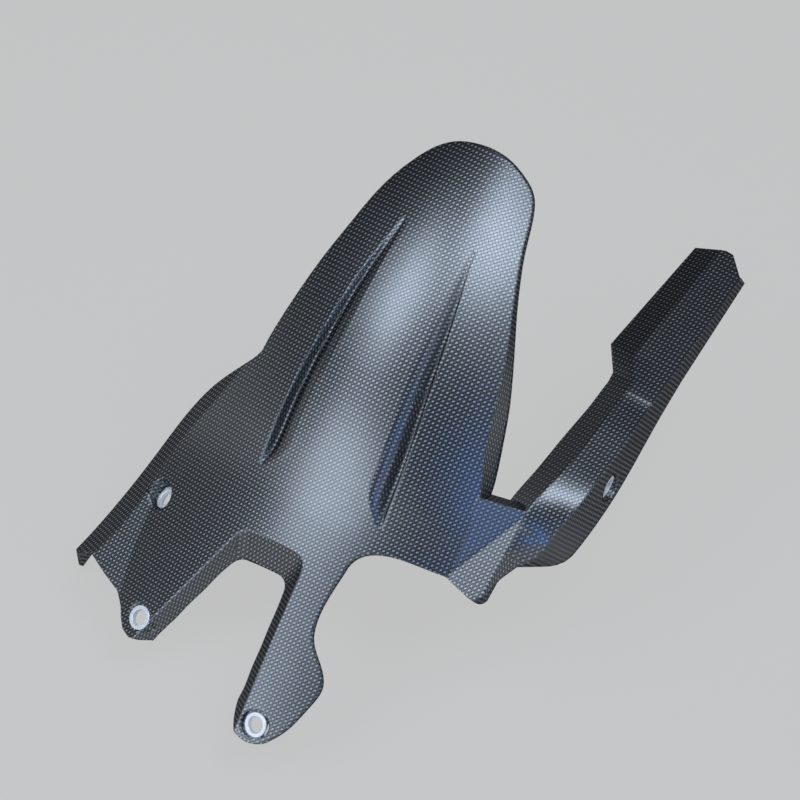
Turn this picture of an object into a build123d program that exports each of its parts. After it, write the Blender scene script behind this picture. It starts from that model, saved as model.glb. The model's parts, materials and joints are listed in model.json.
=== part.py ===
"""Motorcycle rear fender: one moulded carbon shell over the tyre with a chain guard, and four flanged eyelets.

Drawn in a local frame that lies along the shell: "back" runs rearward and up, "left" to the vehicle's left,
"up" square to both. place() turns the finished parts into the vehicle's frame, with the origin at the
chain guard's bore. All sizes in mm, all angles in degrees.
"""

import math
import os

from build123d import *

# Shell and mounts
WALL = 2.0
PITCH = 34.0
BORE_RADIUS = 6.25
BARREL_RADIUS = 7.5
FLANGE_RADIUS = 9.25
FLANGE_THICKNESS = 1.4
SEAT_RADIUS = 11.0

# Tongue over the tyre: an arc round the wheel, then a deck that levels out forward of it
TONGUE_RADIUS = 340.0
CREST_BACK = 150.0
CREST_UP = 35.0
DECK_SLOPE = 0.18
DECK_BLEND = 30.0
CROWN_ROUND = 120.0
SKIN_ROWS = 34
SKIN_COLUMNS = 26

# Mounts: (back, left, up), the direction that the eyelet faces, and how deep its seat lies
EAR_MOUNT = (-154.0, -94.0, -54.0)
EAR_FACING = (-0.03, -0.317, 0.945)
EAR_DEPTH = 2.0
SIDE_MOUNT = (-65.0, -125.0, -54.0)
SIDE_FACING = (0.19, -0.605, 0.77)
SIDE_DEPTH = 8.0
ARM_MOUNT = (-178.0, 28.0, -42.0)
ARM_FACING = (-0.19, -0.20, 0.96)
ARM_DEPTH = 2.0
GUARD_MOUNT = (95.0, 172.0, -86.0)
GUARD_FACING = (0.0, 1.0, 0.0)
GUARD_DEPTH = 5.0
ORIGIN = (95.0, 166.0, -86.0)  # halfway along the guard eyelet's bore

# Outline of the deck and tongue at its fold: (back, left, draft of the wall below)
TAIL = [
    (65.0, -88.0, 12.0), (86.0, -85.5, 12.0), (112.0, -81.0, 12.0), (145.0, -74.5, 12.0), (180.0, -66.5, 12.0),
    (210.0, -58.0, 12.0), (228.0, -52.0, 14.0), (245.0, -44.5, 16.0), (257.0, -34.0, 18.0), (265.0, -18.0, 20.0),
    (267.8, 0.0, 20.0), (265.0, 17.0, 18.0), (256.5, 32.0, 14.0), (245.0, 42.5, 8.0), (228.0, 49.5, 4.0),
    (210.0, 56.0, 3.0), (180.0, 67.5, 4.0), (153.0, 78.0, 10.0), (106.0, 89.5, 24.0), (72.0, 96.0, 26.0),
    (45.0, 104.0, 12.0),
]
DECK_FRONT = [(-16.5, 104.0, 2.0), (-19.0, 84.0, 0.0), (-22.0, 66.0, 0.0), (-30.0, 48.0, 0.0), (-44.0, 40.0, 0.0)]
ARM_RIGHT = [
    (-44.0, 40.0, 0.0), (-66.0, 37.0, 0.0), (-88.0, 36.0, 0.0), (-103.0, 40.0, 0.0), (-117.0, 52.0, 0.0),
    (-130.0, 59.5, 0.0), (-148.0, 57.0, 0.0), (-170.0, 50.0, 0.0), (-185.0, 41.0, 0.0),
]
ARM_TIP = [(-185.0, 41.0, 0.0), (-192.0, 30.0, 0.0), (-191.0, 18.0, 0.0), (-184.0, 8.5, 0.0), (-172.0, 2.5, 0.0)]
EAR_LEFT = [
    (-190.0, -192.0, 0.0), (-139.0, -179.0, 0.0), (-100.0, -167.5, 0.0), (-60.0, -157.0, 0.0),
    (-20.0, -145.5, 0.0), (5.0, -135.5, 0.0), (27.0, -122.5, 2.0), (41.0, -110.0, 6.0), (54.0, -97.5, 10.0),
    (65.0, -88.0, 12.0),
]


def crest(back):
    """Height of the skin on the centre line."""
    if back >= 0.0:
        return CREST_UP - TONGUE_RADIUS + math.sqrt(TONGUE_RADIUS**2 - (back - CREST_BACK) ** 2)
    start = CREST_UP - TONGUE_RADIUS + math.sqrt(TONGUE_RADIUS**2 - CREST_BACK**2)
    return start + DECK_SLOPE * back - 0.31 * DECK_BLEND * (1.0 - math.exp(back / DECK_BLEND))


def fall(back):
    """How steeply the skin falls away sideways."""
    tail = max(0.0, (back - 170.0) / 100.0)
    return 0.55 + 0.5 / (1.0 + math.exp(-(back + 10.0) / 45.0)) + 0.5 * tail**2


def skin(back, left):
    return crest(back) - fall(back) * (math.hypot(left, CROWN_ROUND) - CROWN_ROUND)


def skin_inset(back, left, inset):
    """The skin moved inward by inset, measured square to it."""
    by_back = (skin(back + 1.0, left) - skin(back - 1.0, left)) / 2.0
    by_left = (skin(back, left + 1.0) - skin(back, left - 1.0)) / 2.0
    return skin(back, left) - inset * math.sqrt(1.0 + by_back**2 + by_left**2)


def ramp(value, low, high):
    """0 below low, 1 above high, smooth between."""
    t = min(1.0, max(0.0, (value - low) / (high - low)))
    return t * t * (3.0 - 2.0 * t)


def lip(back, left):
    """How far the free edge lies below the skin."""
    tongue = 12.0 - 9.0 * ramp(back, 150.0, 262.0)
    notch = 8.0 * ramp(-back, 0.0, 60.0)
    side = 14.0 * ramp(-left, 90.0, 125.0) * ramp(-back, -70.0, -5.0)
    arm = 15.0 * ramp(left, 6.0, 40.0) * ramp(-back, 0.0, 60.0)
    base = 5.5 * ramp(-back, 20.0, 48.0) * (1.0 - ramp(-back, 54.0, 95.0))
    base *= ramp(left, -100.0, -55.0) * (1.0 - ramp(left, 12.0, 32.0))
    return tongue + notch + side + base - arm


def at(back, left, up):
    """A point of the local frame."""
    return Vector(-back, left, up)


def offset_loop(points, amounts):
    """Closed (back, left) loop with each corner moved outward by its own amount."""
    moved = []
    count = len(points)
    area = sum(b0 * l1 - b1 * l0 for (b0, l0), (b1, l1) in zip(points, points[1:] + points[:1]))
    turn = 1.0 if area < 0.0 else -1.0
    for i, (b, l) in enumerate(points):
        pb, pl = points[i - 1]
        nb, nl = points[(i + 1) % count]
        d1 = math.hypot(b - pb, l - pl)
        d2 = math.hypot(nb - b, nl - l)
        n1 = (-(l - pl) / d1, (b - pb) / d1)
        n2 = (-(nl - l) / d2, (nb - b) / d2)
        mb, ml = n1[0] + n2[0], n1[1] + n2[1]
        share = turn * amounts[i] * 2.0 / (mb * mb + ml * ml)
        moved.append((b + mb * share, l + ml * share))
    return moved


def offset_sides(points, amounts):
    """Straight-sided (back, left) loop; each side moved outward by one amount at its start, one at its end."""
    count = len(points)
    area = sum(b0 * l1 - b1 * l0 for (b0, l0), (b1, l1) in zip(points, points[1:] + points[:1]))
    turn = 1.0 if area > 0.0 else -1.0
    lines = []
    for i, (b, l) in enumerate(points):
        nb, nl = points[(i + 1) % count]
        size = math.hypot(nb - b, nl - l)
        out_b, out_l = turn * (nl - l) / size, -turn * (nb - b) / size
        first, last = amounts[i]
        b, l, nb, nl = b + out_b * first, l + out_l * first, nb + out_b * last, nl + out_l * last
        lines.append((nl - l, b - nb, (nl - l) * b - (nb - b) * l))
    moved = []
    for i in range(count):
        a0, a1, d0 = lines[i - 1]
        b0, b1, d1 = lines[i]
        det = a0 * b1 - a1 * b0
        moved.append(((d0 * b1 - d1 * a1) / det, (a0 * d1 - b0 * d0) / det))
    return moved


def under(height):
    """Everything below height(back, left), over the whole deck."""
    rows = []
    for i in range(SKIN_ROWS + 1):
        b = -225.0 + 510.0 * i / SKIN_ROWS
        row = []
        for j in range(SKIN_COLUMNS + 1):
            l = -215.0 + 365.0 * j / SKIN_COLUMNS
            row.append(at(b, l, height(b, l)))
        rows.append(row)
    face = Face.make_surface_from_array_of_points(rows, tol=0.02, min_deg=3, max_deg=3)
    return Solid.extrude(face, Vector(0, 0, -180))


def lofted(stations, ruled=False):
    """Solid through closed polygons, one per station: (back, [(left, up), ...])."""
    wires = []
    for back, polygon in stations:
        pts = [at(back, l, u) for l, u in polygon]
        wires.append(Wire.make_polygon(pts, close=True))
    return Solid.make_loft(wires, ruled=ruled)


def inset_open(chain, inset, reach=0.0):
    """A chain of (left, up) points moved inward by inset, its two ends lengthened by reach.

    Inward is to the right of the chain's direction of travel.
    """
    dirs = []
    for (l0, u0), (l1, u1) in zip(chain, chain[1:]):
        size = math.hypot(l1 - l0, u1 - u0)
        dirs.append(((l1 - l0) / size, (u1 - u0) / size))
    out = []
    for i, (l, u) in enumerate(chain):
        d0 = dirs[max(0, i - 1)]
        d1 = dirs[min(i, len(dirs) - 1)]
        nl, nu = d0[1] + d1[1], -d0[0] - d1[0]
        share = inset * 2.0 / (nl * nl + nu * nu)
        l, u = l + nl * share, u + nu * share
        if i == 0:
            l, u = l - dirs[0][0] * reach, u - dirs[0][1] * reach
        if i == len(chain) - 1:
            l, u = l + dirs[-1][0] * reach, u + dirs[-1][1] * reach
        out.append((l, u))
    return out


# Deck and tongue
NOTCH_CORNER = 12.0
NOTCH_TILT = 0.25
NOTCH = [
    # back, left of a corner at the fold; draft and fold height of the side after it
    (-250.0, -126.0, 22.0, -26.0), (-51.5, -41.0, 46.0, -18.4), (-52.5, 11.5, 31.0, -18.0), (-250.0, 10.5, 0.0, 0.0),
]
STRIP = [
    # back, ridge left, ridge up, crease left, crease up
    (-215.0, -178.0, -76.0, -200.0, -101.0),
    (-132.0, -156.0, -68.5, -177.0, -93.5),
    (-98.0, -146.0, -66.2, -167.0, -91.0),
    (-55.0, -137.0, -60.3, -156.0, -85.0),
    (-26.0, -129.0, -52.0, -147.5, -75.5),
    (2.0, -117.0, -37.5, -137.0, -61.5),
    (26.0, -104.5, -21.5, -123.5, -45.0),
    (45.0, -95.0, -9.5, -107.0, -24.5),
    (64.0, -88.5, 0.5, -93.0, -7.0),
]
GROOVE = [
    # back, outer edge from the centre line, depth
    (196.0, 30.0, 0.4), (182.0, 32.0, 1.2), (166.0, 35.3, 2.6), (148.0, 38.8, 4.2), (124.0, 42.4, 5.8),
    (100.0, 45.4, 7.2), (75.0, 48.2, 8.4), (50.0, 50.2, 9.2), (28.0, 51.2, 9.4), (12.0, 51.6, 7.6),
    (2.0, 51.8, 4.2), (-7.0, 52.0, 0.5),
]

# Bridge: facet A falls from the tongue to B, facet B is almost level
BRIDGE_A = (45.0, 104.0, -17.0)
BRIDGE_B = (52.0, 134.75, -38.6)
BRIDGE_C = (-16.5, 104.0, -38.4)
BRIDGE_D = (-24.5, 132.75, -40.5)
BRIDGE_CORNER = 7.0
BRIDGE_LIP = 15.0

# The guard's inner slope stops where the bridge begins: (back, left, up) corners of what is cleared
CLEAR_LOW = (-20.0, 108.0, -80.0)
CLEAR_HIGH = (49.0, 129.0, -55.5)

# Chain guard sections: back, then (left, up) of the inner foot, inner fold, outer ridge and outer skirt
GUARD_NOSE = 38.0
GUARD_STRAIGHT = 165.0
GUARD = [
    (-17.0, (126.0, -52.0), (133.1, -39.5), (134.4, -43.0), (133.6, -47.0)),
    (0.0, (123.0, -56.0), (133.5, -39.1), (137.0, -47.0), (136.7, -53.0)),
    (13.0, (121.0, -60.0), (133.8, -38.7), (142.0, -53.5), (141.5, -61.5)),
    (20.0, (119.5, -62.0), (133.9, -38.6), (148.3, -57.5), (152.0, -78.0)),
    (23.5, (118.7, -62.0), (134.0, -38.5), (150.5, -57.0), (157.3, -84.0)),
    (27.0, (118.0, -62.0), (134.0, -38.5), (152.0, -56.3), (161.3, -87.6)),
    (32.0, (117.2, -61.6), (134.1, -38.4), (153.9, -54.8), (165.0, -90.8)),
    (38.0, (116.5, -61.0), (134.2, -38.3), (155.5, -53.0), (167.5, -92.5)),
    (55.0, (115.0, -58.0), (134.3, -38.0), (159.5, -47.5), (170.5, -94.0)),
    (78.0, (119.5, -62.0), (139.0, -43.0), (164.5, -47.0), (173.0, -97.0)),
    (102.0, (121.5, -76.0), (142.0, -57.0), (166.0, -60.0), (173.0, -107.0)),
    (125.0, (123.5, -90.0), (143.5, -72.0), (166.5, -75.0), (171.5, -119.0)),
    (145.0, (125.0, -103.0), (144.0, -85.5), (166.0, -88.5), (170.0, -129.0)),
    (165.0, (125.5, -116.0), (144.5, -99.0), (166.0, -102.0), (169.0, -138.0)),
    (173.0, (124.5, -120.5), (144.5, -104.5), (166.0, -107.4), (168.8, -141.0)),
    (192.0, (110.5, -131.0), (133.0, -117.5), (166.0, -120.0), (168.5, -148.0)),
    (310.0, (122.0, -205.0), (140.5, -196.5), (165.5, -198.0), (166.5, -213.0)),
]

# Raised flat between the ridge and the deck, ahead of the side mount: three points of its plane
FLAT = [(-79.0, -127.0, -57.7), (-144.0, -120.0, -63.5), (-132.0, -156.0, -68.5)]
FLAT_OUTLINE = [(-70.0, -118.0), (-70.0, -152.0), (-215.0, -205.0), (-215.0, -105.0)]

# Plan shapes that trim the front of the left ear and the tail of the guard
FRONT_TRIM = [
    (-137.5, -168.0), (-131.5, -157.5), (-140.0, -138.5), (-146.0, -122.5), (-155.0, -113.5), (-161.5, -109.5),
    (-168.5, -103.5), (-171.5, -95.5), (-170.0, -88.5), (-166.5, -82.5), (-174.0, -60.0), (-260.0, -60.0),
    (-260.0, -168.0),
]
# The outer wall runs on below the ridge: (back, up) of what is cut off ahead of it
WALL_TRIM = [(-137.5, -40.0), (-137.5, -92.0), (-151.0, -123.0), (-151.0, -160.0), (-260.0, -160.0), (-260.0, -40.0)]
TAIL_TRIM = [
    (287.5, 105.0), (300.5, 144.0), (300.0, 150.0), (286.0, 164.0), (280.0, 185.0), (340.0, 185.0), (340.0, 105.0),
]


def loop_at(runs, amounts, height):
    """Wire through the runs' points moved outward by their amounts, at height(back)."""
    points = [p for run in runs for p in run[:-1]]
    moved = offset_loop([(p[0], p[1]) for p in points], amounts)
    spots = [at(b, l, height(b)) for b, l in moved]
    edges = []
    start = 0
    for run in runs:
        stop = start + len(run) - 1
        pts = [spots[i % len(spots)] for i in range(start, stop + 1)]
        edges.append(Line(pts[0], pts[1]) if len(pts) == 2 else Spline(*pts))
        start = stop
    return Wire(edges)


def notch(inset):
    """The opening between the left ear and the front arm; its walls lean in below the fold."""
    wires = []
    for level in (4.0, -49.0):
        amounts = []
        for _, _, draft, fold in NOTCH:
            slope = math.radians(draft)
            amounts.append([(level - fold) * math.tan(slope) + inset / math.cos(slope)] * 2)
        moved = offset_sides([(b, l) for b, l, _, _ in NOTCH], amounts)
        pts = [at(b, l, level + NOTCH_TILT * (b + 55.0)) for b, l in moved]
        wires.append(Wire.make_polygon(pts, close=True))
    block = Solid.make_loft(wires, ruled=True)
    corners = block.edges().filter_by(lambda e: abs(e.tangent_at(0.5).Z) > 0.3).sort_by(Axis.X)[:2]
    return block.fillet(NOTCH_CORNER + inset, corners)


def strip_waste(inset):
    """Everything outside the drafted wall that runs down from the left ridge."""
    stations = []
    for back, rl, ru, cl, cu in STRIP:
        low, high = inset_open([(cl, cu), (rl, ru)], inset, 22.0)
        stations.append((back, [low, high, (high[0], 60.0), (-240.0, 60.0), (-240.0, low[1])]))
    return lofted(stations)


def groove(inset, side):
    """Stiffening groove: a steep outer wall, a narrow floor, and an inner wall with a rounded shoulder."""
    stations = []
    for back, edge, depth in GROOVE:
        spread = 0.35 + 0.65 * min(1.0, depth / 7.0)
        chain = [(edge - 22.0 * spread, skin(back, edge - 22.0 * spread) + 1.5)]
        for gap, share in ((13.0, 0.12), (9.5, 0.38), (5.2, 1.0), (3.0, 1.0), (0.0, 0.0)):
            left = edge - gap * spread
            chain.append((left, skin(back, left) - share * depth))
        chain = inset_open(chain, inset, 4.0)
        chain += [(chain[-1][0], chain[-1][1] + 6.0), (chain[0][0], chain[-1][1] + 9.0)]
        stations.append((back, [(side * l, u) for l, u in chain]))
    return lofted(stations)


def flat(inset):
    """Block under the raised flat; where it is below the skin it makes no difference."""
    up, by_back, by_left = plane_through(*FLAT)
    up -= inset * math.sqrt(1.0 + by_back**2 + by_left**2)
    lid = Wire.make_polygon([at(b, l, up + by_back * b + by_left * l) for b, l in FLAT_OUTLINE], close=True)
    return Solid.extrude(Face(lid), Vector(0, 0, -60))


def deck_body(inset):
    runs = [TAIL, [TAIL[-1], DECK_FRONT[0]], DECK_FRONT, ARM_RIGHT, ARM_TIP, [ARM_TIP[-1], EAR_LEFT[0]], EAR_LEFT]
    amounts = []
    points = [p for run in runs for p in run[:-1]]
    wires = []
    for level in (45.0, -130.0):
        amounts = []
        for b, l, draft in points:
            slope = math.radians(draft)
            amounts.append((skin(b, l) - level) * math.tan(slope) - inset / math.cos(slope))
        wires.append(loop_at(runs, amounts, lambda b: level))
    prism = Solid.make_loft(wires, ruled=True)
    body = (under(lambda b, l: skin_inset(b, l, inset)) + flat(inset)) & prism
    body = body - strip_waste(inset) - notch(inset) - groove(inset, 1.0) - groove(inset, -1.0)
    reach = 8.0 if inset else 0.0
    return body - under(lambda b, l: skin(b, l) - lip(b, l) - reach)


def facet_body(outline, plane, depth, inset, corner=0.0):
    """Block under a flat facet: outline is [(back, left, overlap, draft)] with the last two for the side after it.

    A side without a draft lies inside the part, so it keeps its place when the block is inset. The last
    outline point's corner is rounded by corner, if that is given.
    """
    up, by_back, by_left = plane
    up -= inset * math.sqrt(1.0 + by_back**2 + by_left**2)
    points = [(b, l) for b, l, _, _ in outline]
    wires = []
    for level in (30.0, -110.0):
        amounts = []
        for i, (b, l, overlap, draft) in enumerate(outline):
            if draft is None:
                amounts.append((overlap, overlap))
                continue
            slope = math.radians(draft)
            nb, nl = points[(i + 1) % len(points)]
            folds = (plane[0] + by_back * b + by_left * l, plane[0] + by_back * nb + by_left * nl)
            amounts.append([(fold - level) * math.tan(slope) - inset / math.cos(slope) for fold in folds])
        moved = offset_sides(points, amounts)
        wires.append(Wire.make_polygon([at(b, l, level) for b, l in moved], close=True))
    prism = Solid.make_loft(wires, ruled=True)
    if corner:
        upright = prism.edges().filter_by(lambda e: abs(e.tangent_at(0.5).Z) > 0.7)
        prism = prism.fillet(corner - inset, upright.sort_by(Axis.X)[-1:])
    corners = [(-60.0, 80.0), (90.0, 80.0), (90.0, 170.0), (-60.0, 170.0)]
    lid = Wire.make_polygon([at(b, l, up + by_back * b + by_left * l) for b, l in corners], close=True)
    return Solid.extrude(Face(lid), Vector(0, 0, -depth - (5.0 if inset else 0.0))) & prism


def plane_through(a, b, c):
    """(up at 0, by back, by left) of the plane through three (back, left, up) points."""
    det = (b[0] - a[0]) * (c[1] - a[1]) - (c[0] - a[0]) * (b[1] - a[1])
    by_back = ((b[2] - a[2]) * (c[1] - a[1]) - (c[2] - a[2]) * (b[1] - a[1])) / det
    by_left = ((b[0] - a[0]) * (c[2] - a[2]) - (c[0] - a[0]) * (b[2] - a[2])) / det
    return a[2] - by_back * a[0] - by_left * a[1], by_back, by_left


def guard_body(inset):
    """Chain guard: inner slope, flat top and tall outer wall, open below."""
    stations = []
    for back, foot, fold, ridge, skirt in GUARD[1 if inset else 0:]:
        chain = inset_open([foot, fold, ridge, skirt], inset, 12.0 if inset else 0.0)
        stations.append((back, chain))
    nose = lofted([s for s in stations if s[0] <= GUARD_NOSE], ruled=True)
    middle = lofted([s for s in stations if GUARD_NOSE <= s[0] <= GUARD_STRAIGHT])
    rear = lofted([s for s in stations if s[0] >= GUARD_STRAIGHT], ruled=True)
    return nose + middle + rear


def seat(mount, facing, depth, inset):
    """Counterbore down to an eyelet's seat."""
    normal = Vector(-facing[0], facing[1], facing[2]).normalized()
    foot = at(*mount) - normal * (depth + inset)
    return Solid.make_cylinder(SEAT_RADIUS + inset, 30.0 + depth, Plane(origin=foot, z_dir=normal))


def seat_plane(mount, facing, depth):
    normal = Vector(-facing[0], facing[1], facing[2]).normalized()
    return Plane(origin=at(*mount) - normal * depth, z_dir=normal)


def eyelet(mount, facing, depth):
    """Flanged tube that clamps the shell's wall between two flanges."""
    low = -WALL - 1.0
    rim = 0.4
    profile = Polyline(
        (BORE_RADIUS, low), (FLANGE_RADIUS - 0.8, low), (FLANGE_RADIUS - 0.8, -WALL), (BARREL_RADIUS, -WALL),
        (BARREL_RADIUS, 0), (FLANGE_RADIUS, 0), (FLANGE_RADIUS, FLANGE_THICKNESS - rim),
        (FLANGE_RADIUS - rim, FLANGE_THICKNESS), (BORE_RADIUS + rim, FLANGE_THICKNESS),
        (BORE_RADIUS, FLANGE_THICKNESS - rim), close=True,
    )
    ring = revolve(Plane.XZ * make_face(profile), Axis.Z)
    return seat_plane(mount, facing, depth).location * ring


def place(shape):
    """From the local frame to the vehicle's: +X forward, +Y left, +Z up, origin at the guard's bore."""
    return Rot(0, PITCH, 0) * Pos(*(-at(*ORIGIN))) * shape


MOUNTS = {
    "eyelet_ear": (EAR_MOUNT, EAR_FACING, EAR_DEPTH),
    "eyelet_side": (SIDE_MOUNT, SIDE_FACING, SIDE_DEPTH),
    "eyelet_arm": (ARM_MOUNT, ARM_FACING, ARM_DEPTH),
    "eyelet_guard": (GUARD_MOUNT, GUARD_FACING, GUARD_DEPTH),
}


def fender_shell():
    plane_a = plane_through(BRIDGE_A, BRIDGE_C, BRIDGE_B)
    plane_b = plane_through(BRIDGE_C, BRIDGE_D, BRIDGE_B)
    bodies = []
    for inset in (0.0, WALL):
        left_edge = 101.0 if inset else 102.5
        facet_a = [
            (BRIDGE_C[0] + 2.5, left_edge, 0.0, None), (BRIDGE_A[0], left_edge, 0.0, 23.0),
            (*BRIDGE_B[:2], 1.0, None),
        ]
        facet_b = [
            (BRIDGE_C[0], left_edge, 0.0, None), (BRIDGE_C[0] + 9.0, left_edge, 0.0, None),
            (*BRIDGE_B[:2], 0.0, 8.0), (*BRIDGE_D[:2], 0.0, 3.0),
        ]
        body = deck_body(inset)
        body += facet_body(facet_a, plane_a, BRIDGE_LIP, inset)
        body += facet_body(facet_b, plane_b, BRIDGE_LIP, inset, BRIDGE_CORNER)
        body += guard_body(inset)
        for mount, facing, depth in MOUNTS.values():
            body -= seat(mount, facing, depth, inset)
        bodies.append(body)
    shell = bodies[0] - bodies[1]
    front = [at(b, l, 80.0) for b, l in FRONT_TRIM]
    shell -= Solid.extrude(Face(Wire.make_polygon(front, close=True)), Vector(0, 0, -260))
    wall = [at(b, -215.0, u) for b, u in WALL_TRIM]
    shell -= Solid.extrude(Face(Wire.make_polygon(wall, close=True)), Vector(0, 47.0, 0))
    end = [at(b, l, 0.0) for b, l in TAIL_TRIM]
    shell -= Solid.extrude(Face(Wire.make_polygon(end, close=True)), Vector(0, 0, -260))
    low, high = at(*CLEAR_LOW), at(*CLEAR_HIGH)
    shell -= Pos(*((low + high) * 0.5)) * Box(*(abs(a) for a in high - low))
    for mount, facing, depth in MOUNTS.values():
        plane = seat_plane(mount, facing, depth)
        shell -= Solid.make_cylinder(BARREL_RADIUS, 20.0, Plane(plane.origin - plane.z_dir * 10.0, z_dir=plane.z_dir))
        below = Plane(plane.origin - plane.z_dir * WALL, z_dir=-plane.z_dir)
        shell -= Solid.make_cylinder(FLANGE_RADIUS + 0.5, 9.0, below)
    return shell


if __name__ == "__main__":
    os.makedirs("parts", exist_ok=True)
    shell = fender_shell()
    solids = sorted(shell.solids(), key=lambda s: s.volume)
    print("shell solids", [round(s.volume) for s in solids], shell.is_valid)
    export_step(place(solids[-1]), "parts/fender_shell.step")
    for name, (mount, facing, depth) in MOUNTS.items():
        export_step(place(eyelet(mount, facing, depth)), f"parts/{name}.step")
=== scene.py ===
import json
import math

import bpy
from mathutils import Matrix, Vector


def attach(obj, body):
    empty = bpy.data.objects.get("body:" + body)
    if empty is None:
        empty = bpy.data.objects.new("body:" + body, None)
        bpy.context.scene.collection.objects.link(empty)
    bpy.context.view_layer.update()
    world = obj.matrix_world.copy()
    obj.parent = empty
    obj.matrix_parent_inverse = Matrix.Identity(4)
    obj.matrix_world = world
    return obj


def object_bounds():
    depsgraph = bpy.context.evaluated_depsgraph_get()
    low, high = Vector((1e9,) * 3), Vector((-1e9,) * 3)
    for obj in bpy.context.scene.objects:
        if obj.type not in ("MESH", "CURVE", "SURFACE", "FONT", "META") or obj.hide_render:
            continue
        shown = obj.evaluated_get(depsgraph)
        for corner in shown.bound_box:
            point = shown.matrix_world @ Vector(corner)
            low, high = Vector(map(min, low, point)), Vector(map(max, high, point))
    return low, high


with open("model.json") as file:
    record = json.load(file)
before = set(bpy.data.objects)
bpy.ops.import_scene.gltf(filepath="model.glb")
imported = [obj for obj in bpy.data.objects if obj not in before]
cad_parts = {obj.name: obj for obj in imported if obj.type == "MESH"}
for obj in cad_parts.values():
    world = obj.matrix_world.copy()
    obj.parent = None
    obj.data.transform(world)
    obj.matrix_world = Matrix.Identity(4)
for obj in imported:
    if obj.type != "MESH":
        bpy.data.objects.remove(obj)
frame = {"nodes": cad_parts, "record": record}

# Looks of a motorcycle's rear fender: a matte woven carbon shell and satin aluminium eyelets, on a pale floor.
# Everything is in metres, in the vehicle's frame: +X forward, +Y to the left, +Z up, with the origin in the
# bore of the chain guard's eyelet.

MM = 0.001
cad_box = [list(corner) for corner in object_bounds()]

# Camera, from the photograph's perspective; lens and film width in millimetres
CAMERA_TARGET = Vector((56.9, -144.9, 58.1)) * MM
CAMERA_RIGHT = Vector((-0.524, 0.848, 0.0565))
CAMERA_UP = Vector((-0.659, -0.450, 0.605))
CAMERA_DISTANCE = 1714.0 * MM
CAMERA_LENS = 108.0
FILM_WIDTH = 36.0

# Paper under the object: how far it reaches, in metres, and how much of its own grey it keeps in its shadows
FLOOR_REACH = 60.0
FLOOR_STEPS = 96
FLOOR_OWN_GREY = 0.9

# Patch beside the ear's eyelet: the wall's facing and its distance from the mount's point, how far below that
# point the patch's middle lies, and its sizes. Each of its corners is rounded in a few steps.
EAR_WALL_FACING = Vector((0.568, 0.8215, 0.0522))
EAR_WALL_OFFSET = 8.94 * MM
PATCH_DEPTH = 5.6 * MM
PATCH_WIDTH = 9.2 * MM
PATCH_HEIGHT = 9.8 * MM
PATCH_CORNER = 1.0 * MM
PATCH_INSET = 0.05 * MM
PATCH_THICKNESS = 0.35 * MM
CORNER_STEPS = 3

# Colours as the eye reads them
FLOOR_GREY = "#C8C8C8"
ROOM_GREY = "#B9BEC4"
RESIN_BLACK = "#484B4E"
# The tow tops' colour is a painted glint: lighter than the tows, it stands for the light their tops catch
PAINTED_TOW_GLINT = "#BBBEC2"
TOW_ACROSS = "#7A7D81"
FIBRE_EDGE = "#3A3A3A"
DAYLIGHT = "#DDE8F6"
SKYLIGHT = "#5E92E0"
RING_BRIGHT = "#F1F3F5"
RING_SHADE = "#DFE2E6"

# Plain weave of carbon cloth laid on the bias: tows about 2.25 mm wide, drawn a little closer across the shell.
# The pitches are those of its bright dots. The cloth wanders a little, and goes over to a side or an end where
# the surface leans that way by more than the turn.
PITCH_ALONG = 3.35 * MM
PITCH_ACROSS = 3.05 * MM
SHELL_PITCH = math.radians(34.0)
CLOTH_WANDER = 1.6 * MM
CLOTH_WANDER_OVER = 45.0 * MM
CLOTH_TURN = 1.4

# How sharply the resin between the tows, the swell of a tow and its bright dash, a painted glint, are drawn
RESIN_EDGE = 0.6
TOW_SWELL = 0.5
TOW_DASH = 3.2

# Finish: the folds' rounding, the tows' relief, the lacquer's roughness and patches, and the rings' grit, which
# is drawn coarser than it is so that it shows
EDGE_ROUND = 2.6 * MM
TOW_RELIEF = 0.1 * MM
LACQUER_SMOOTH = 0.33
LACQUER_DULL = 0.38
LACQUER_PATCH = 9.0 * MM
TOW_DULLING = 0.22
RING_GRIT = 0.8 * MM
RING_GRIT_DEPTH = 0.02 * MM

# Lamps: name, the way to it as the camera sees it (right, up, nearer), its distance and side in metres, its
# watts and its colour
LAMPS = [
    ("window_light", (-0.48, 0.32, 0.82), 2.0, 1.0, 18.0, DAYLIGHT),
    ("ceiling_light", (0.30, 0.40, 0.87), 2.2, 1.3, 30.0, DAYLIGHT),
    ("low_window_light", (-0.68, -0.52, 0.52), 1.8, 1.2, 18.0, DAYLIGHT),
    ("side_light", (0.72, -0.10, 0.69), 2.0, 1.2, 5.0, DAYLIGHT),
    ("sky_light", (0.36, -0.66, 0.66), 2.0, 0.4, 4.5, SKYLIGHT),
]
ROOM_GLOW = 0.1


def linear(code):
    """sRGB hex to the linear colour that Blender works in."""
    channels = [int(code[i:i + 2], 16) / 255.0 for i in (1, 3, 5)]
    return tuple(c / 12.92 if c <= 0.04045 else ((c + 0.055) / 1.055) ** 2.4 for c in channels) + (1.0,)


def add(tree, kind, settings=None, inputs=None):
    """One node, with its settings, and each input either linked from a socket or set to a value."""
    made = tree.nodes.new(kind)
    for name, value in (settings or {}).items():
        setattr(made, name, value)
    for key, value in (inputs or {}).items():
        if isinstance(value, bpy.types.NodeSocket):
            tree.links.new(value, made.inputs[key])
        else:
            made.inputs[key].default_value = value
    return made


def blank_material(name):
    """A material without nodes, and its node tree."""
    material = bpy.data.materials.new(name)
    material.use_nodes = True
    material.node_tree.nodes.clear()
    return material, material.node_tree


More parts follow.
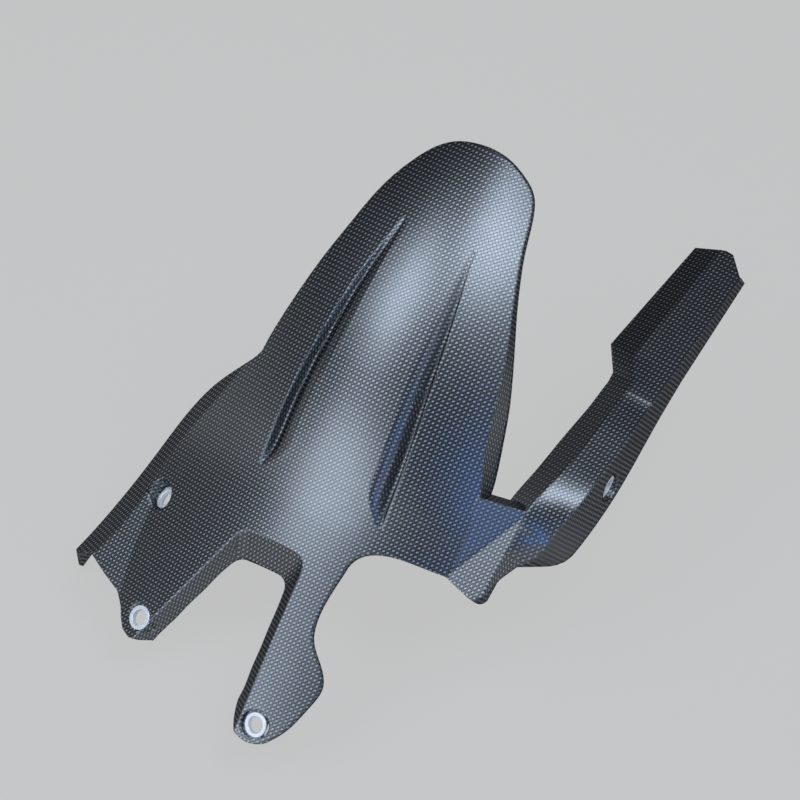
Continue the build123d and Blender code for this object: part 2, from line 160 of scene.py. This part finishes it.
def carbon_cloth():
    """Plain-weave carbon laminate under matte clear lacquer: dark, with a broad soft sheen and painted glints
    on tow tops.

    The fibres shine like a dull metal; a dark edge colour keeps the pale floor out of the low reflections.
    """
    material, tree = blank_material("carbon laminate, plain weave, matte lacquer")

    def math_node(operation, a, b=0.0, c=0.0):
        return add(tree, "ShaderNodeMath", {"operation": operation}, {0: a, 1: b, 2: c}).outputs[0]

    # The cloth lies along the shell, so its place and normal are turned level with it
    place = add(tree, "ShaderNodeTexCoord").outputs["Object"]
    drift = add(tree, "ShaderNodeTexNoise", {"noise_dimensions": "3D"},
                {"Vector": place, "Scale": 1.0 / CLOTH_WANDER_OVER, "Detail": 1.0})
    drift = add(tree, "ShaderNodeVectorMath", {"operation": "SUBTRACT"},
                {0: drift.outputs["Color"], 1: (0.5, 0.5, 0.5)}).outputs[0]
    drift = add(tree, "ShaderNodeVectorMath", {"operation": "SCALE"},
                {0: drift, "Scale": CLOTH_WANDER}).outputs[0]
    drifted = add(tree, "ShaderNodeVectorMath", {"operation": "ADD"}, {0: place, 1: drift}).outputs[0]
    level = add(tree, "ShaderNodeVectorRotate", {"rotation_type": "Y_AXIS"},
                {"Vector": drifted, "Angle": -SHELL_PITCH}).outputs[0]
    facing = add(tree, "ShaderNodeNewGeometry").outputs["True Normal"]
    facing = add(tree, "ShaderNodeVectorRotate", {"rotation_type": "Y_AXIS"},
                 {"Vector": facing, "Angle": -SHELL_PITCH}).outputs[0]
    lean = add(tree, "ShaderNodeVectorMath", {"operation": "ABSOLUTE"}, {0: facing}).outputs[0]
    at = add(tree, "ShaderNodeSeparateXYZ", None, {0: level})
    to = add(tree, "ShaderNodeSeparateXYZ", None, {0: lean})
    sideways = math_node("GREATER_THAN", to.outputs["Y"], math_node("MULTIPLY", to.outputs["Z"], CLOTH_TURN))
    either = math_node("MAXIMUM", to.outputs["Y"], to.outputs["Z"])
    endways = math_node("GREATER_THAN", to.outputs["X"], math_node("MULTIPLY", either, CLOTH_TURN))
    along = add(tree, "ShaderNodeMix", {"data_type": "FLOAT"},
                {0: endways, 2: at.outputs["X"], 3: at.outputs["Z"]}).outputs[0]
    across = add(tree, "ShaderNodeMix", {"data_type": "FLOAT"},
                 {0: sideways, 2: at.outputs["Y"], 3: at.outputs["Z"]}).outputs[0]

    # Tows run at about 45 degrees to the shell. The product of two sines is a pillow over every crossing, and
    # on
    #  every second one a painted glint, a short bright dash along the top tow's fibres, is lightened into the
    #  colour
    along = math_node("MULTIPLY", along, math.pi / PITCH_ALONG)
    across = math_node("MULTIPLY", across, math.pi / PITCH_ACROSS)
    warp = math_node("ADD", along, across)
    weft = math_node("SUBTRACT", along, across)
    pillow = math_node("MULTIPLY", math_node("SINE", warp), math_node("SINE", weft))
    bulge = math_node("ABSOLUTE", pillow)
    swell = math_node("POWER", bulge, TOW_SWELL)
    dash = math_node("POWER", math_node("ABSOLUTE", math_node("SINE", warp)), TOW_DASH)
    on_top = math_node("GREATER_THAN", pillow, 0.0)
    tow_top = math_node("MULTIPLY", math_node("MULTIPLY", swell, dash), on_top)

    body = math_node("POWER", bulge, RESIN_EDGE)
    colour = add(tree, "ShaderNodeMix", {"data_type": "RGBA"},
                 {0: body, 6: linear(RESIN_BLACK), 7: linear(TOW_ACROSS)}).outputs[2]
    # Painted glint: the tow tops are lightened towards the glint colour
    colour = add(tree, "ShaderNodeMix", {"data_type": "RGBA"},
                 {0: tow_top, 6: colour, 7: linear(PAINTED_TOW_GLINT)}).outputs[2]

    # The moulding's folds are rounded in the shading; the tows stand out a little, and their lacquer is duller
    soft_edge = add(tree, "ShaderNodeBevel", {"samples": 6}, {"Radius": EDGE_ROUND}).outputs[0]
    relief = add(tree, "ShaderNodeBump", None,
                 {"Strength": 0.4, "Distance": TOW_RELIEF, "Height": tow_top, "Normal": soft_edge}).outputs[0]
    grain = add(tree, "ShaderNodeTexNoise", None,
                {"Vector": place, "Scale": 1.0 / LACQUER_PATCH, "Detail": 3.0})
    lacquer = add(tree, "ShaderNodeMapRange", None,
                  {"Value": grain.outputs[0], "To Min": LACQUER_SMOOTH, "To Max": LACQUER_DULL}).outputs[0]
    roughness = math_node("MULTIPLY_ADD", tow_top, TOW_DULLING, lacquer)
    surface = add(tree, "ShaderNodeBsdfPrincipled", None,
                  {"Base Color": colour, "Metallic": 1.0, "Roughness": roughness,
                   "Specular Tint": linear(FIBRE_EDGE), "Coat Weight": 0.12, "Coat Roughness": 0.42,
                   "Coat IOR": 1.5, "Normal": relief})
    add(tree, "ShaderNodeOutputMaterial", None, {"Surface": surface.outputs[0]})
    return material


def satin_aluminium():
    """Eyelets turned from aluminium bar and anodised clear: pale and satin, with a fine grit."""
    material, tree = blank_material("aluminium, satin anodised")
    place = add(tree, "ShaderNodeTexCoord").outputs["Object"]
    grit = add(tree, "ShaderNodeTexNoise", None, {"Vector": place, "Scale": 1.0 / RING_GRIT, "Detail": 2.0})
    colour = add(tree, "ShaderNodeMix", {"data_type": "RGBA"},
                 {0: grit.outputs[0], 6: linear(RING_SHADE), 7: linear(RING_BRIGHT)}).outputs[2]
    roughness = add(tree, "ShaderNodeMapRange", None,
                    {"Value": grit.outputs[0], "To Min": 0.44, "To Max": 0.56}).outputs[0]
    relief = add(tree, "ShaderNodeBump", None,
                 {"Strength": 0.2, "Distance": RING_GRIT_DEPTH, "Height": grit.outputs[0]}).outputs[0]
    surface = add(tree, "ShaderNodeBsdfPrincipled", None,
                  {"Base Color": colour, "Metallic": 0.4, "Roughness": roughness, "Normal": relief})
    add(tree, "ShaderNodeOutputMaterial", None, {"Surface": surface.outputs[0]})
    return material


def pale_paper():
    """Matte studio floor; the camera sees most of it at its own grey, with a little of the object's shadow."""
    material, tree = blank_material("studio paper, matte")
    path = add(tree, "ShaderNodeLightPath")
    seen = add(tree, "ShaderNodeMath", {"operation": "ADD"},
               {0: path.outputs["Is Camera Ray"], 1: path.outputs["Is Glossy Ray"]}).outputs[0]
    seen = add(tree, "ShaderNodeMath", {"operation": "ADD", "use_clamp": True},
               {0: seen, 1: path.outputs["Is Transmission Ray"]}).outputs[0]
    plain = add(tree, "ShaderNodeEmission", None, {"Color": linear(FLOOR_GREY), "Strength": 1.0})
    paper = add(tree, "ShaderNodeBsdfDiffuse", None, {"Color": linear(FLOOR_GREY)})
    share = add(tree, "ShaderNodeMath", {"operation": "MULTIPLY"}, {0: seen, 1: FLOOR_OWN_GREY}).outputs[0]
    surface = add(tree, "ShaderNodeMixShader", None, {0: share, 1: paper.outputs[0], 2: plain.outputs[0]})
    add(tree, "ShaderNodeOutputMaterial", None, {"Surface": surface.outputs[0]})
    return material


def dress(node, material):
    """Gives one of the frame's solids its material."""
    piece = frame["nodes"][node]
    piece.data.materials.clear()
    piece.data.materials.append(material)


def new_piece(name, points, faces):
    """A mesh of the scene's own, from points and faces."""
    mesh = bpy.data.meshes.new(name)
    mesh.from_pydata(points, [], faces)
    mesh.update()
    piece = bpy.data.objects.new(name, mesh)
    bpy.context.scene.collection.objects.link(piece)
    return piece


def build_floor(z):
    """Round sheet of paper, wide enough to reach the horizon in low views."""
    rim = []
    for i in range(FLOOR_STEPS):
        angle = 2.0 * math.pi * i / FLOOR_STEPS
        rim.append((FLOOR_REACH * math.cos(angle), FLOOR_REACH * math.sin(angle), z))
    floor = new_piece("studio_floor", rim, [tuple(range(FLOOR_STEPS))])
    floor.data.materials.append(pale_paper())


def build_ear_patch(material):
    """Thin plate of cloth that closes the small window beside the ear's eyelet, just inside the wall's face."""
    mount = next(m for m in frame["record"]["mounts"] if m["name"] == "ear_mount")
    axis = Vector(mount["axis"]).normalized()
    facing = EAR_WALL_FACING.normalized()
    along = axis.cross(facing).normalized()
    down = facing.cross(along).normalized()
    if down.dot(axis) > 0.0:
        down = -down
    middle = Vector(mount["pos_m"]) + facing * EAR_WALL_OFFSET + down * PATCH_DEPTH
    outline = []
    half_width, half_height = PATCH_WIDTH / 2.0 - PATCH_CORNER, PATCH_HEIGHT / 2.0 - PATCH_CORNER
    for side_x, side_y, start in ((1, 1, 0.0), (-1, 1, 90.0), (-1, -1, 180.0), (1, -1, 270.0)):
        for step in range(CORNER_STEPS + 1):
            angle = math.radians(start + 90.0 / CORNER_STEPS * step)
            outline.append((side_x * half_width + PATCH_CORNER * math.cos(angle),
                            side_y * half_height + PATCH_CORNER * math.sin(angle)))
    points = [middle + along * x + down * y - facing * depth
              for depth in (PATCH_INSET, PATCH_INSET + PATCH_THICKNESS) for x, y in outline]
    count = len(outline)
    faces = [tuple(range(count)), tuple(reversed(range(count, 2 * count)))]
    faces += [(i, i + count, (i + 1) % count + count, (i + 1) % count) for i in range(count)]
    patch = new_piece("ear_wall_patch", [tuple(p) for p in points], faces)
    patch.data.materials.append(material)
    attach(patch, "root")


def soft_box(name, direction, distance, size, power, colour):
    """Square lamp, placed by its direction from the object as the camera sees it."""
    sideways, upward, nearer = direction
    toward_camera = CAMERA_RIGHT.cross(CAMERA_UP)
    way = (CAMERA_RIGHT * sideways + CAMERA_UP * upward + toward_camera * nearer).normalized()
    data = bpy.data.lights.new(name, "AREA")
    data.shape = "SQUARE"
    data.size = size
    data.energy = power
    data.color = linear(colour)[:3]
    lamp = bpy.data.objects.new(name, data)
    lamp.location = CAMERA_TARGET + way * distance
    lamp.rotation_euler = way.to_track_quat("Z", "Y").to_euler()
    bpy.context.scene.collection.objects.link(lamp)


def build_camera():
    """Camera at the photograph's viewing angle, its back square to the way to the object."""
    data = bpy.data.cameras.new("camera")
    data.lens = CAMERA_LENS
    data.sensor_width = FILM_WIDTH
    data.sensor_fit = "HORIZONTAL"
    data.dof.use_dof = False
    camera = bpy.data.objects.new("camera", data)
    right = CAMERA_RIGHT.normalized()
    back = right.cross(CAMERA_UP).normalized()
    up = back.cross(right)
    turn = Matrix((right, up, back)).transposed().to_4x4()
    camera.matrix_world = Matrix.Translation(CAMERA_TARGET + back * CAMERA_DISTANCE) @ turn
    bpy.context.scene.collection.objects.link(camera)
    bpy.context.scene.camera = camera


def build_light():
    """Soft boxes round the object, and a faint even glow from the room."""
    for lamp in LAMPS:
        soft_box(*lamp)
    world = bpy.data.worlds.new("room")
    world.use_nodes = True
    background = world.node_tree.nodes["Background"]
    background.inputs["Color"].default_value = linear(ROOM_GREY)
    background.inputs["Strength"].default_value = ROOM_GLOW
    bpy.context.scene.world = world


build_camera()
cloth = carbon_cloth()
dress("fender_shell", cloth)
build_ear_patch(cloth)
ring_metal = satin_aluminium()
for name in ("eyelet_ear", "eyelet_side", "eyelet_arm", "eyelet_guard"):
    dress(name, ring_metal)
build_floor(cad_box[0][2])
build_light()
bpy.context.scene.view_settings.view_transform = "Standard"
